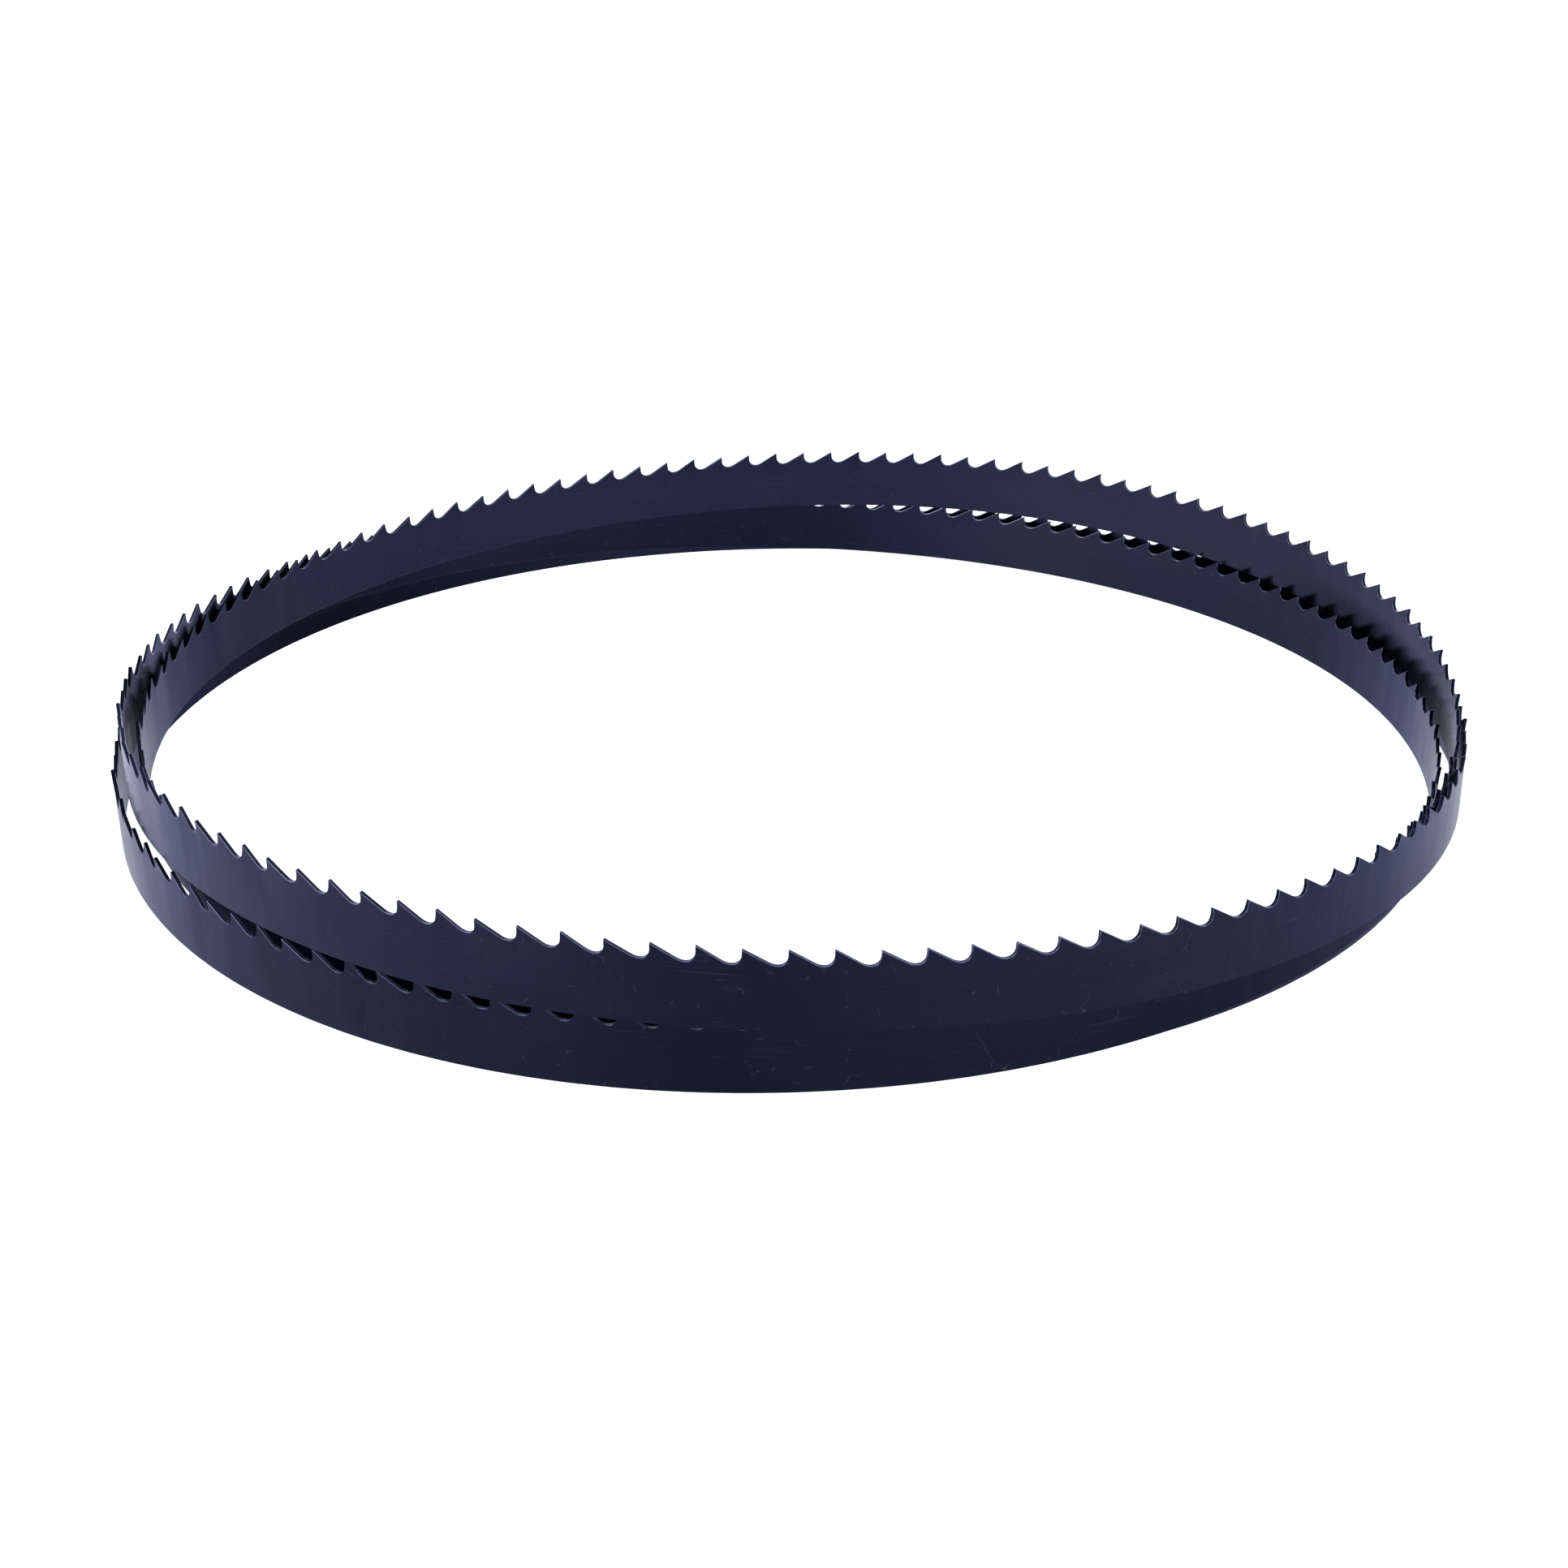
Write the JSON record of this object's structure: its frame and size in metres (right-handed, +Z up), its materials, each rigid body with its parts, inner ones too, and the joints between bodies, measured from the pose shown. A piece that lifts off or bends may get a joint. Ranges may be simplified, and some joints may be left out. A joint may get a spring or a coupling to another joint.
{
  "type": "band saw blade",
  "caption": "Endless steel band with teeth along one edge, folded into a flat coil. Opened out, it runs over the wheels of a band saw.",
  "frame": {"origin": "on the floor, below the middle of the coil's outline", "axes": "+Z up, from the back edges to the teeth; +X right and +Y away, seen from the side where the top pass slopes down to the left"},
  "size_m": [0.2446, 0.2424, 0.0265],
  "materials": {
    "blued_steel": "dark blued steel, satin"
  },
  "bodies": {
    "root": {"saw_band": "blued_steel"}
  },
  "joints": []
}
